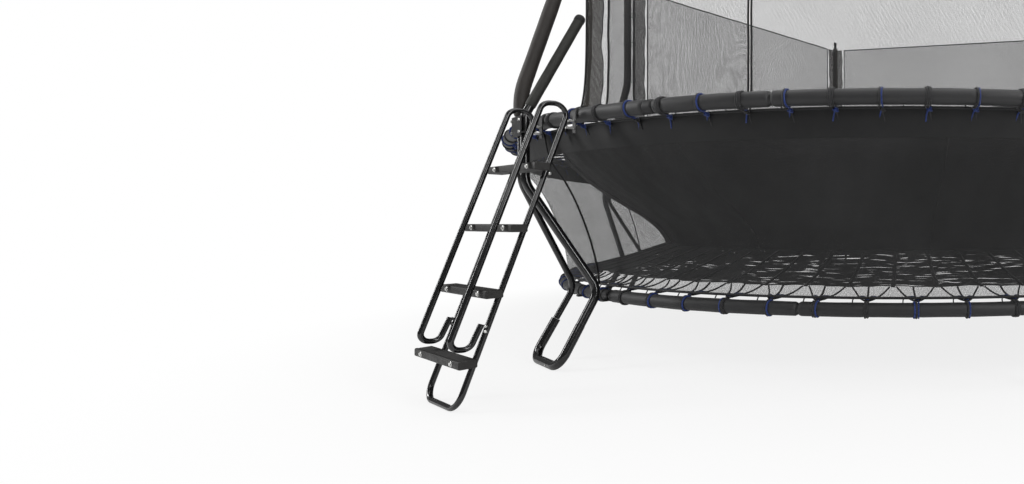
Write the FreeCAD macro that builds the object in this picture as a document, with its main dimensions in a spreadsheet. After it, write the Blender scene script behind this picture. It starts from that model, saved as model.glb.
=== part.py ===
import FreeCAD, Part
import os, math
from FreeCAD import Vector, Placement, Rotation

os.makedirs("parts", exist_ok=True)
doc = FreeCAD.newDocument("backyard_trampoline")
sheet = doc.addObject("Spreadsheet::Sheet", "dims")

# driving dimensions, millimetres and degrees
dims = {
    "unit_count": 6, "unit_angle": 6.85,
    "upper_ring_rad": 2450, "upper_ring_height": 1048,
    "lower_ring_rad": 2193, "lower_ring_height": 302,
    "ring_tube_rad": 22, "ring_wall": 2, "sleeve_rad": 28, "sleeve_bore": 22.4,
    "coupler_rad": 19.4,
    "main_tube_rad": 18, "side_tube_rad": 13.5, "foot_tube_rad": 19, "leg_wall": 2,
    "knee_spread": 3.44, "knee_rad": 2243, "knee_height": 330, "foot_spread": 3.48, "foot_reach": 2410,
    "limb_rad": 2492, "limb_bend_height": 800, "limb_side": 24, "limb_top": 1066,
    "knee_bend": 90, "limb_bend": 130, "foot_bend": 62, "foot_joint_height": 185,
    "pole_wall": 1.6, "foam_rad": 27.5, "foam_bore": 13.9,
    "pole_bend_height": 1185, "pole_lean_rad": 2318, "pole_lean_height": 1777,
    "pole_top": 2640, "foam_start": 1082, "foam_end": 2590,
    "stay_rad": 18, "stay_sleeve_rad": 20.5, "stay_sleeve_bore": 18.3, "stay_bend_height": 1086,
    "stay_end_rad": 2276, "stay_end_height": 1545,
    "net_corner_rad": 2236, "net_bottom": 1086, "net_top": 2540, "net_thick": 3, "corner_band": 96,
    "door_wide": 700, "seam_gap": 5,
    "skirt_top_rad": 2404, "skirt_top": 1008, "skirt_low_rad": 2186, "skirt_low": 352, "skirt_thick": 3,
    "mat_rad": 2172, "mat_height": 1044, "mat_thick": 4, "mat_band": 38,
    "cord_rad": 4, "cord_count": 96,
    "cone_top_rad": 2196, "cone_top": 1032, "waist_rad": 1640, "waist_height": 500, "cone_thick": 4,
    "strap_rad": 5, "strap_count": 72,
    "ladder_foot_rad": 2862, "ladder_top_rad": 2504, "ladder_width": 261, "ladder_tube_rad": 9.5,
    "ladder_wall": 1.5, "rail_split": 800, "loop_offset": 94,
    "tread_len": 385, "tread_deep": 54, "tread_high": 28, "tread_first": 153, "tread_rise": 222, "hook_wide": 22,
}
for row, (alias, value) in enumerate(dims.items(), start=1):
    sheet.set("A%d" % row, alias)
    sheet.set("B%d" % row, str(value))
    sheet.setAlias("B%d" % row, alias)
doc.recompute()


def g(alias):
    return float(getattr(sheet, alias))


N = int(g("unit_count"))
RU, ZU = g("upper_ring_rad"), g("upper_ring_height")
RL, ZL = g("lower_ring_rad"), g("lower_ring_height")
leaves = []


def bind(obj, **sizes):
    for prop, expr in sizes.items():
        obj.setExpression(prop, expr)
    return obj


def rot_z(angle):
    return Placement(Vector(0, 0, 0), Rotation(Vector(0, 0, 1), angle))


# azimuth 0 faces the ladder (-Y); azimuth grows towards -X
def pol(rad, az, z):
    a = math.radians(az)
    return Vector(-rad * math.sin(a), -rad * math.cos(a), z)


# radial, side (towards growing azimuth) and height at a given azimuth
def loc(az, radial, side, z):
    a = math.radians(az)
    return Vector(-radial * math.sin(a) - side * math.cos(a),
                  -radial * math.cos(a) + side * math.sin(a), z)


def unit_az(k):
    return g("unit_angle") + 360.0 / N * k


def rounded_path(pts, bends):
    edges, start = [], pts[0]
    for i in range(1, len(pts) - 1):
        p, a, b, rad = pts[i], pts[i - 1], pts[i + 1], bends[i - 1]
        u, v = (a - p).normalize(), (b - p).normalize()
        ang = u.getAngle(v)
        if rad <= 0 or ang > math.pi - 1e-3:
            edges.append(Part.makeLine(start, p))
            start = p
            continue
        cut = rad / math.tan(ang / 2.0)
        t1, t2 = p + u * cut, p + v * cut
        mid_dir = (u + v).normalize()
        centre = p + mid_dir * (rad / math.sin(ang / 2.0))
        mid = centre - mid_dir * rad
        if (t1 - start).Length > 1e-6:
            edges.append(Part.makeLine(start, t1))
        edges.append(Part.Arc(t1, mid, t2).toShape())
        start = t2
    edges.append(Part.makeLine(start, pts[-1]))
    return Part.Wire(edges)


# a bent round tube: a spine, a circle on its start and a sweep; a bore when wall is given
def bent_tube(label, pts, bends, rad_alias, bore=None):
    spine = doc.addObject("Part::Feature", label + "_spine")
    spine.Shape = rounded_path(pts, bends)
    count = len(spine.Shape.Edges)
    start, tangent = pts[0], (pts[1] - pts[0]).normalize()

    def sweep(tag, expr):
        circle = doc.addObject("Part::Circle", label + tag + "_section")
        bind(circle, Radius=expr)
        circle.Placement = Placement(start, Rotation(Vector(0, 0, 1), tangent))
        s = doc.addObject("Part::Sweep", label + tag)
        s.Sections = [circle]
        s.Spine = (spine, ["Edge%d" % (i + 1) for i in range(count)])
        s.Solid = True
        s.Frenet = False
        s.Transition = "Transformed"
        return s

    outer = sweep("_outer", "dims." + rad_alias)
    if not bore:
        return outer
    inner = sweep("_bore", bore)
    tube = doc.addObject("Part::Cut", label + "_tube")
    tube.Base, tube.Tool = outer, inner
    return tube


def node(label, obj):
    obj.Label = label
    leaves.append(obj)
    return obj


def group(label, objs):
    c = doc.addObject("Part::Compound", label)
    c.Links = objs
    return node(label, c)


# an arc of a round tube on the ring circle, between two azimuths
def ring_arc(name, rad, height, tube, az0, az1):
    t = doc.addObject("Part::Torus", name)
    bind(t, Radius1="dims." + rad, Radius2=tube)
    t.Angle1, t.Angle2, t.Angle3 = -180, 180, az1 - az0
    # azimuth a lies at the mathematical angle 270 - a
    t.Placement = Placement(Vector(0, 0, g(height)), Rotation(Vector(0, 0, 1), 270 - az1))
    return t


def hollow_arc(name, rad, height, outer, inner, az0, az1):
    a = ring_arc(name + "_out", rad, height, outer, az0, az1)
    b = ring_arc(name + "_in", rad, height, inner, az0 - 0.0, az1 + 0.0)
    c = doc.addObject("Part::Cut", name)
    c.Base, c.Tool = a, b
    return c


# straight rod between two points
def rod(name, a, b, expr):
    c = doc.addObject("Part::Cylinder", name)
    bind(c, Radius=expr)
    c.Height = (b - a).Length
    c.Placement = Placement(a, Rotation(Vector(0, 0, 1), (b - a)))
    return c


# a block given by its size along radial, side and height at an azimuth
def block(name, az, radial, side, z, size):
    b = doc.addObject("Part::Box", name)
    b.Length, b.Width, b.Height = size
    a = 270 - az
    b.Placement = Placement(loc(az, radial, side, z), Rotation(Vector(0, 0, 1), a)).multiply(
        Placement(Vector(-size[0] / 2.0, -size[1] / 2.0, -size[2] / 2.0), Rotation()))
    return b


def fuse(name, objs):
    f = doc.addObject("Part::MultiFuse", name)
    f.Shapes = objs
    return f


def plate(label, corners, thick):
    wire = doc.addObject("Part::Feature", label + "_outline")
    wire.Shape = Part.makePolygon(corners + [corners[0]])
    e = doc.addObject("Part::Extrusion", label)
    e.Base = wire
    normal = (corners[1] - corners[0]).cross(corners[2] - corners[1]).normalize()
    e.DirMode = "Custom"
    e.Dir = normal
    bind(e, LengthFwd=thick)
    e.Solid = True
    return e


step = 360.0 / N

# rings: tubes, inner couplers and padded sleeves; the sleeves stop at the leg units
joint_up, joint_low = 30.0, 30.0
side_deg = math.degrees(math.asin((g("limb_side") + g("main_tube_rad")) / RU))
for where, rad, high, at in (("upper", "upper_ring_rad", "upper_ring_height", joint_up),
                             ("lower", "lower_ring_rad", "lower_ring_height", joint_low)):
    group(where + "_ring_tubes", [hollow_arc("%s_tube_%d" % (where, k), rad, high, "dims.ring_tube_rad",
          "dims.ring_tube_rad - dims.ring_wall", unit_az(k) + at + 0.02, unit_az(k) + at + step - 0.02)
          for k in range(N)])
group("ring_couplers", [ring_arc("coupler_up_%d" % k, "upper_ring_rad", "upper_ring_height", "dims.coupler_rad",
      unit_az(k) + joint_up - 2.5, unit_az(k) + joint_up + 2.5) for k in range(N)] +
      [ring_arc("coupler_low_%d" % k, "lower_ring_rad", "lower_ring_height", "dims.coupler_rad",
       unit_az(k) + joint_low - 2.5, unit_az(k) + joint_low + 2.5) for k in range(N)])
ups, lows = [], []
for k in range(N):
    A = unit_az(k)
    ups.append(hollow_arc("upper_sleeve_a%d" % k, "upper_ring_rad", "upper_ring_height", "dims.sleeve_rad",
                          "dims.sleeve_bore", A + 1.6, A + joint_up - 0.12))
    ups.append(hollow_arc("upper_sleeve_b%d" % k, "upper_ring_rad", "upper_ring_height", "dims.sleeve_rad",
                          "dims.sleeve_bore", A + joint_up + 0.12, A + step - 1.6))
    ks = g("knee_spread")
    lows.append(hollow_arc("lower_sleeve_a%d" % k, "lower_ring_rad", "lower_ring_height", "dims.sleeve_rad",
                           "dims.sleeve_bore", A - ks + 0.95, A + ks - 0.95))
    lows.append(hollow_arc("lower_sleeve_b%d" % k, "lower_ring_rad", "lower_ring_height", "dims.sleeve_rad",
                           "dims.sleeve_bore", A + ks + 0.95, A + joint_low - 0.12))
    lows.append(hollow_arc("lower_sleeve_c%d" % k, "lower_ring_rad", "lower_ring_height", "dims.sleeve_rad",
                           "dims.sleeve_bore", A + joint_low + 0.12, A + step - ks - 0.95))
group("upper_ring_sleeves", ups)
group("lower_ring_sleeves", lows)


# leg units: a wide tube on the low-azimuth side, a thin one beside it, and a U-shaped foot that joins them
def limb_points(A, s):
    knee = pol(g("knee_rad"), A + s * g("knee_spread"), g("knee_height"))
    corner = pol(g("foot_reach"), A + s * g("foot_spread"), g("foot_tube_rad"))
    t = (knee.z - g("foot_joint_height")) / (knee.z - corner.z)
    joint = knee + (corner - knee) * t
    return knee, corner, joint


for k in range(N):
    A = unit_az(k)
    for s, name, rad in ((-1, "main_leg", "main_tube_rad"), (1, "side_leg", "side_tube_rad")):
        knee, corner, joint = limb_points(A, s)
        up = (knee - corner).normalize()
        pts = [joint + up * 0.5, knee, loc(A, g("limb_rad"), s * g("limb_side"), g("limb_bend_height")),
               loc(A, g("limb_rad"), s * g("limb_side"), g("limb_top"))]
        label = "%s_%d" % (name, k + 1)
        node(label, bent_tube(label, pts, [g("knee_bend"), g("limb_bend")], rad, "dims.%s - dims.leg_wall" % rad))
    k1, c1, j1 = limb_points(A, -1)
    k2, c2, j2 = limb_points(A, 1)
    label = "foot_tube_%d" % (k + 1)
    node(label, bent_tube(label, [j1, c1, c2, j2], [g("foot_bend"), g("foot_bend")], "foot_tube_rad",
                          "dims.foot_tube_rad - dims.leg_wall"))

# brackets on the upper ring, clamps on the lower ring, screws and plugs
brackets, bolts, clamps, caps = [], [], [], []
for k in range(N):
    A = unit_az(k)
    band = ring_arc("bracket_band_%d" % k, "upper_ring_rad", "upper_ring_height", "dims.ring_tube_rad + 4.5", A - 1.2, A + 1.2)
    core = ring_arc("bracket_core_%d" % k, "upper_ring_rad", "upper_ring_height", "dims.ring_tube_rad + 0.3", A - 1.5, A + 1.5)
    back = block("bracket_back_%d" % k, A, 2516, 0, ZU - 13, (5, 106, 84))
    low = block("bracket_low_%d" % k, A, 2494, 0, ZU - 39, (44, 106, 5))
    web = block("bracket_web_%d" % k, A, 2466, 0, ZU - 31.5, (12, 98, 20))
    web2 = block("bracket_shelf_%d" % k, A, 2466, 0, ZU - 39, (14, 106, 5))
    whole = fuse("bracket_whole_%d" % k, [band, back, low, web, web2])
    bores = [core]
    for s, rad in ((-1, "main_tube_rad"), (1, "side_tube_rad")):
        bores.append(rod("bracket_bore_%d_%d" % (k, s + 1), loc(A, g("limb_rad"), s * g("limb_side"), ZU - 60),
                         loc(A, g("limb_rad"), s * g("limb_side"), ZU + 60), "dims.%s + 0.3" % rad))
    tools = fuse("bracket_bores_%d" % k, bores)
    c = doc.addObject("Part::Cut", "bracket_%d" % k)
    c.Base, c.Tool = whole, tools
    brackets.append(c)
    for s in (-1, 1):
        for dz in (-34, 16):
            bolts.append(rod("bracket_bolt_%d_%d_%d" % (k, s + 1, dz + 60), loc(A, 2518.7, s * 44, ZU - 4 + dz),
                             loc(A, 2524, s * 44, ZU - 4 + dz), "6.5"))
        B = A + s * g("knee_spread")
        ring = ring_arc("clamp_band_%d_%d" % (k, s + 1), "lower_ring_rad", "lower_ring_height",
                        "dims.ring_tube_rad + 3.5", B - 0.5, B + 0.5)
        inner = ring_arc("clamp_core_%d_%d" % (k, s + 1), "lower_ring_rad", "lower_ring_height",
                         "dims.ring_tube_rad + 0.3", B - 0.8, B + 0.8)
        lug = block("clamp_lug_%d_%d" % (k, s + 1), B, RL + 26, 0, ZL - 20, (24, 30, 8))
        whole = fuse("clamp_whole_%d_%d" % (k, s + 1), [ring, lug])
        knee, corner, joint = limb_points(A, s)
        rad = "main_tube_rad" if s < 0 else "side_tube_rad"
        around = rod("clamp_leg_%d_%d" % (k, s + 1), knee + (corner - knee) * 0.9, knee, "dims.%s + 0.5" % rad)
        tools = fuse("clamp_tools_%d_%d" % (k, s + 1), [inner, around])
        c = doc.addObject("Part::Cut", "clamp_%d_%d" % (k, s + 1))
        c.Base, c.Tool = whole, tools
        clamps.append(c)
    c1, c2 = limb_points(A, -1)[1], limb_points(A, 1)[1]
    at = c1 + (c2 - c1).normalize() * 96
    out = Vector(c1.x + c2.x, c1.y + c2.y, 0).normalize()
    bolts.append(rod("foot_screw_%d" % k, at + out * (g("foot_tube_rad") + 0.3), at + out * (g("foot_tube_rad") + 2.6), "5"))
group("ring_brackets", brackets)
group("lower_ring_clamps", clamps)
group("frame_screws", bolts)

# net poles with foam sleeves and caps, and the sleeved stays beside them
poles, stays, covers = [], [], []
for k in range(N):
    A = unit_az(k)
    side, base = g("limb_side"), g("limb_rad")
    z0 = g("limb_top") + 0.6
    pts = [loc(A, base, side, z0), loc(A, base, side, g("pole_bend_height")),
           loc(A, g("pole_lean_rad"), side, g("pole_lean_height")), loc(A, g("pole_lean_rad"), side, g("pole_top"))]
    poles.append(bent_tube("net_pole_%d" % (k + 1), pts, [360, 360], "side_tube_rad", "dims.side_tube_rad - dims.pole_wall"))
    fp = [loc(A, base, side, g("foam_start")), pts[1], pts[2], loc(A, g("pole_lean_rad"), side, g("foam_end"))]
    node("pole_foam_%d" % (k + 1), bent_tube("pole_foam_%d" % (k + 1), fp, [360, 360], "foam_rad", "dims.foam_bore"))
    dome = doc.addObject("Part::Sphere", "pole_cap_dome_%d" % k)
    bind(dome, Radius="dims.side_tube_rad + 5")
    dome.Placement = Placement(loc(A, g("pole_lean_rad"), side, g("pole_top") + 6), Rotation())
    low = block("pole_cap_low_%d" % k, A, g("pole_lean_rad"), side, g("pole_top") - 29.7, (60, 60, 60))
    cap = doc.addObject("Part::Cut", "pole_cap_%d" % k)
    cap.Base, cap.Tool = dome, low
    caps.append(cap)
    sp = [loc(A, base, -side, z0), loc(A, base, -side, g("stay_bend_height")),
          loc(A, g("stay_end_rad"), -side, g("stay_end_height"))]
    stays.append(bent_tube("net_stay_%d" % (k + 1), sp, [60], "stay_rad", "dims.stay_rad - dims.leg_wall"))
    d = (sp[2] - sp[1]).normalize()
    covers.append(rod("stay_cover_out_%d" % k, sp[1] + d * 40, sp[2] - d * 1, "dims.stay_sleeve_rad"))
    covers[-1] = (covers[-1], rod("stay_cover_in_%d" % k, sp[1] + d * 30, sp[2] + d * 9, "dims.stay_sleeve_bore"))
    o, i = covers[-1]
    c = doc.addObject("Part::Cut", "stay_cover_%d" % k)
    c.Base, c.Tool = o, i
    covers[-1] = c
group("net_poles", poles)
group("net_stays", stays)
group("stay_sleeves", covers)
group("pole_caps", caps)

# safety net: a band each side of every corner, flat panels between them, and a door flap beside the ladder
bands = []
z0, z1 = g("net_bottom"), g("net_top")
up0, up1 = Vector(0, 0, z0), Vector(0, 0, z1)
for k in range(N):
    A0, A1 = unit_az(k), unit_az(k) + step
    c0, c1 = pol(g("net_corner_rad"), A0, 0), pol(g("net_corner_rad"), A1, 0)
    d = (c1 - c0).normalize()
    span = (c1 - c0).Length
    w, gap = g("corner_band"), g("seam_gap")

    def panel(label, f, t, thick="dims.net_thick"):
        a, b = c0 + d * f, c0 + d * t
        return plate(label, [a + up0, b + up0, b + up1, a + up1], thick)

    bands.append(panel("corner_band_a%d" % k, gap, w))
    bands.append(panel("corner_band_b%d" % k, span - w, span - gap))
    if k == N - 1:
        door_edge = span - w - gap - g("door_wide")
        node("net_door", panel("net_door", door_edge + gap, span - w - gap))
        node("net_panel_door_side", panel("net_panel_door_side", w + gap, door_edge))
        hinge_at = c0 + d * (door_edge + gap / 2.0)
    else:
        node("net_panel_%d" % (k + 1), panel("net_panel_%d" % (k + 1), w + gap, span - w - gap))
group("net_corner_bands", bands)

# mesh skirt between the rings: six sectors of a cone
panels = []
for k in range(N):
    cut = []
    for tag, extra in (("out", 0.0), ("in", 1.0)):
        c = doc.addObject("Part::Cone", "skirt_%s_%d" % (tag, k))
        grow = "" if tag == "out" else " - dims.skirt_thick"
        bind(c, Radius1="dims.skirt_low_rad" + grow, Radius2="dims.skirt_top_rad" + grow,
             Height="dims.skirt_top - dims.skirt_low")
        c.Angle = step - 0.5 if tag == "out" else 360
        c.Placement = Placement(Vector(0, 0, g("skirt_low")), Rotation(Vector(0, 0, 1), 270 - (unit_az(k) + step - 0.25)))
        cut.append(c)
    c = doc.addObject("Part::Cut", "skirt_panel_%d" % k)
    c.Base, c.Tool = cut
    panels.append(c)
group("skirt_panels", panels)

# jumping mat with its edge band, and the cords to the ring
disc = doc.addObject("Part::Cylinder", "mat")
bind(disc, Radius="dims.mat_rad", Height="dims.mat_thick")
disc.Placement = Placement(Vector(0, 0, g("mat_height")), Rotation())
node("mat", disc)
band_out = doc.addObject("Part::Cylinder", "mat_band_outer")
bind(band_out, Radius="dims.mat_rad + dims.mat_band", Height="dims.mat_thick + 4")
band_out.Placement = Placement(Vector(0, 0, g("mat_height") - 2), Rotation())
band_in = doc.addObject("Part::Cylinder", "mat_band_inner")
bind(band_in, Radius="dims.mat_rad + 0.3", Height="dims.mat_thick + 14")
band_in.Placement = Placement(Vector(0, 0, g("mat_height") - 7), Rotation())
band = doc.addObject("Part::Cut", "mat_edge_band")
band.Base, band.Tool = band_out, band_in
node("mat_edge_band", band)
cords = []
count = int(g("cord_count"))
for i in range(count):
    a = 360.0 / count * (i + 0.5)
    cords.append(rod("mat_cord_%d" % i, pol(g("mat_rad") + g("mat_band") + 2, a, g("mat_height") + 2),
                     pol(RU - g("sleeve_rad") - 2, a, ZU), "dims.cord_rad"))
group("mat_cords", cords)

# fabric cone under the mat, the waist hoop and the straps from the lower ring
top_r, waist_r = g("cone_top_rad"), g("waist_rad")
def frustum(name, e1, e2):
    c = doc.addObject("Part::Cone", name)
    bind(c, Radius1=e1, Radius2=e2, Height="dims.cone_top - dims.waist_height - 14")
    c.Placement = Placement(Vector(0, 0, g("waist_height") + 14), Rotation())
    return c
outer = frustum("cone_outer", "dims.waist_rad + dims.cone_thick", "dims.cone_top_rad + dims.cone_thick")
inner = frustum("cone_inner", "dims.waist_rad", "dims.cone_top_rad")
cone = doc.addObject("Part::Cut", "under_mat_cone")
cone.Base, cone.Tool = outer, inner
node("under_mat_cone", cone)
hoop = doc.addObject("Part::Torus", "waist_hoop")
bind(hoop, Radius1="dims.waist_rad", Radius2="9")
hoop.Placement = Placement(Vector(0, 0, g("waist_height")), Rotation())
node("waist_hoop", hoop)
straps = []
count = int(g("strap_count"))
for i in range(count):
    a = 360.0 / count * (i + 0.5)
    straps.append(rod("strap_%d" % i, pol(RL - g("sleeve_rad") - 3, a, ZL + 12),
                      pol(waist_r + 12, a, g("waist_height") - 6), "dims.strap_rad"))
group("lower_straps", straps)

# ladder: one bent tube for both rails and the foot bar, two hand loops, treads, bolts, ring hooks
foot_r, head_r, half_w = g("ladder_foot_rad"), g("ladder_top_rad"), g("ladder_width") / 2.0
tr = g("ladder_tube_rad")


def rail(z):
    return foot_r + (head_r - foot_r) * z / ZU


def lad(side, z):
    return loc(0, rail(z), side, z)


split = g("rail_split")
node("ladder_frame", bent_tube("ladder_frame", [lad(half_w, split - 1), lad(half_w, tr), lad(-half_w, tr),
                                                lad(-half_w, split - 1)], [55, 55], "ladder_tube_rad",
                               "dims.ladder_tube_rad - dims.ladder_wall"))
for s, name in ((half_w, "hand_loop_left"), (-half_w, "hand_loop_right")):
    out = g("loop_offset")
    pts = [lad(s, split + 1), lad(s, 1082), loc(0, rail(1062) + out, s, 1072),
           loc(0, rail(215) + out + 2, s, 212), loc(0, rail(205) + 30, s, 205), loc(0, rail(290) + 24.5, s, 285)]
    node(name, bent_tube(name, pts, [40, 40, 28, 28], "ladder_tube_rad", "dims.ladder_tube_rad - dims.ladder_wall"))
heads, hooks = [], []
for i in range(4):
    z = g("tread_first") + i * g("tread_rise")
    box = doc.addObject("Part::Box", "tread_box_%d" % (i + 1))
    bind(box, Length="dims.tread_len", Width="dims.tread_deep", Height="dims.tread_high")
    low = rail(z) + tr + 1.4
    box.Placement = Placement(Vector(-g("tread_len") / 2.0, -low - g("tread_deep"), z), Rotation())
    doc.recompute([box])
    edge = doc.addObject("Part::Fillet", "tread_%d" % (i + 1))
    edge.Base = box
    edge.Edges = [(j, 4.0, 4.0) for j in range(1, 13)]
    node("tread_%d" % (i + 1), edge)
    for s in (-half_w, half_w):
        at = Vector(s, -low - g("tread_deep") - 0.2, z + g("tread_high") / 2.0)
        heads.append(rod("tread_bolt_%d_%d" % (i, s > 0), at, at + Vector(0, -4, 0), "6"))
for s in (-half_w, half_w):
    ring_at = math.sqrt(RU * RU - s * s)
    rim = g("sleeve_rad") + 1.8
    arc_o = doc.addObject("Part::Cylinder", "hook_outer_%d" % (s > 0))
    bind(arc_o, Radius="dims.sleeve_rad + 5.8", Height="dims.hook_wide")
    arc_i = doc.addObject("Part::Cylinder", "hook_inner_%d" % (s > 0))
    bind(arc_i, Radius="dims.sleeve_rad + 1.8", Height="dims.hook_wide + 4")
    for c, grow in ((arc_o, 0), (arc_i, 2)):
        c.Placement = Placement(Vector(s - g("hook_wide") / 2.0 - grow, -ring_at, ZU), Rotation(Vector(0, 1, 0), 90))
    open_box = doc.addObject("Part::Box", "hook_open_%d" % (s > 0))
    open_box.Length, open_box.Width, open_box.Height = 60, 90, 60
    open_box.Placement = Placement(Vector(s - 30, -ring_at - 45, ZU - 60), Rotation())
    leg = doc.addObject("Part::Box", "hook_leg_%d" % (s > 0))
    bind(leg, Length="dims.hook_wide", Width="4", Height="80")
    leg.Placement = Placement(Vector(s - g("hook_wide") / 2.0, -ring_at - rim - 4, ZU - 74), Rotation())
    half = doc.addObject("Part::Cut", "hook_half_%d" % (s > 0))
    half.Base, half.Tool = arc_o, open_box
    solid = fuse("hook_solid_%d" % (s > 0), [half, leg])
    hook = doc.addObject("Part::Cut", "hook_%d" % (s > 0))
    hook.Base, hook.Tool = solid, arc_i
    hooks.append(hook)
    for dz in (-28, -56):
        z = ZU + dz
        a = Vector(s, -ring_at - rim - 4.2, z)
        b = Vector(s, -(rail(z) - tr) + 3.2, z)
        if a.y - b.y > 1.5:
            heads.append(rod("hook_bolt_%d_%d" % (s > 0, -dz), a, b, "5"))
group("ladder_bolts", heads)
group("ladder_hooks", hooks)

doc.recompute()
bad = [o.Name for o in doc.Objects if "Invalid" in o.State or "Error" in o.State]
if bad:
    raise RuntimeError("objects in error: %s" % bad)
names = set()
for o in leaves:
    shape = o.Shape
    if shape.isNull() or not shape.isValid() or not shape.Solids:
        raise RuntimeError("bad shape: " + o.Label)
    if o.Label in names:
        raise RuntimeError("label used twice: " + o.Label)
    names.add(o.Label)
    shape.exportStep(os.path.join("parts", o.Label + ".step"))
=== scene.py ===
import math

import bpy
import numpy as np
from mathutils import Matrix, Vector


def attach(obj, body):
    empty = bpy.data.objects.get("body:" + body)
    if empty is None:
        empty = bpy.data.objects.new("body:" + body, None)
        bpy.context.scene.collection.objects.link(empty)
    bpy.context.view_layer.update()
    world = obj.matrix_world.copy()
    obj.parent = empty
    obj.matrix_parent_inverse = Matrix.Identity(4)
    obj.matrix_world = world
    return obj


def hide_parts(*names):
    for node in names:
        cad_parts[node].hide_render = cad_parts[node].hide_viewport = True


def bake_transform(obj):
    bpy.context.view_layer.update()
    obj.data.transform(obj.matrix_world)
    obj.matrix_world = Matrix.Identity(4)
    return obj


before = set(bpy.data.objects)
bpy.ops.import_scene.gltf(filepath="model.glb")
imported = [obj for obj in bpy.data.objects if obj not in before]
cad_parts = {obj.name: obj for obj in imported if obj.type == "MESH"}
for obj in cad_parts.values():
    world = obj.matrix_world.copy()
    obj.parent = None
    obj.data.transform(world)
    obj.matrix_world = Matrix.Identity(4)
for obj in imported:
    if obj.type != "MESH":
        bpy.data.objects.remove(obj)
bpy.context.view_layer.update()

# ---------------------------------------------------------------- camera
scene = bpy.context.scene
cam_data = bpy.data.cameras.new("photo_camera")
cam_data.sensor_width = 36.0
cam_data.lens = 36.0 * 579.6 / 1024.0
cam_data.shift_x = -(902.1 - 512.0) / 1024.0
cam_data.shift_y = (222.1 - 242.0) / 1024.0
cam_data.clip_start = 0.05
cam = bpy.data.objects.new("photo_camera", cam_data)
scene.collection.objects.link(cam)
AZC = math.radians(-33.5)
cam.location = (-4.366 * math.sin(AZC), -4.366 * math.cos(AZC), 0.632)
look = Vector((-cam.location.x, -cam.location.y, 0.0))
cam.rotation_euler = look.to_track_quat("-Z", "Y").to_euler()
scene.camera = cam

# ---------------------------------------------------------------- sizes, as in the construction
UNIT, STEP, N = 6.85, 60.0, 6
RU, ZU, RL, ZL = 2.450, 1.048, 2.193, 0.302
SLEEVE = 0.028
rng = np.random.default_rng(11)


def rad(a):
    return math.radians(a)


def pol(r, az, z):
    a = rad(az)
    return np.array([-r * math.sin(a), -r * math.cos(a), z])


def pols(r, az, z):
    a = np.radians(az)
    return np.stack([-r * np.sin(a), -r * np.cos(a), np.broadcast_to(z, np.shape(a * r))], -1)


def loc(az, r, side, z):
    a = rad(az)
    return np.array([-r * math.sin(a) - side * math.cos(a), -r * math.cos(a) + side * math.sin(a), z])


# ---------------------------------------------------------------- material helpers
def lin(c):
    return (c[0], c[1], c[2], 1.0)


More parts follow.
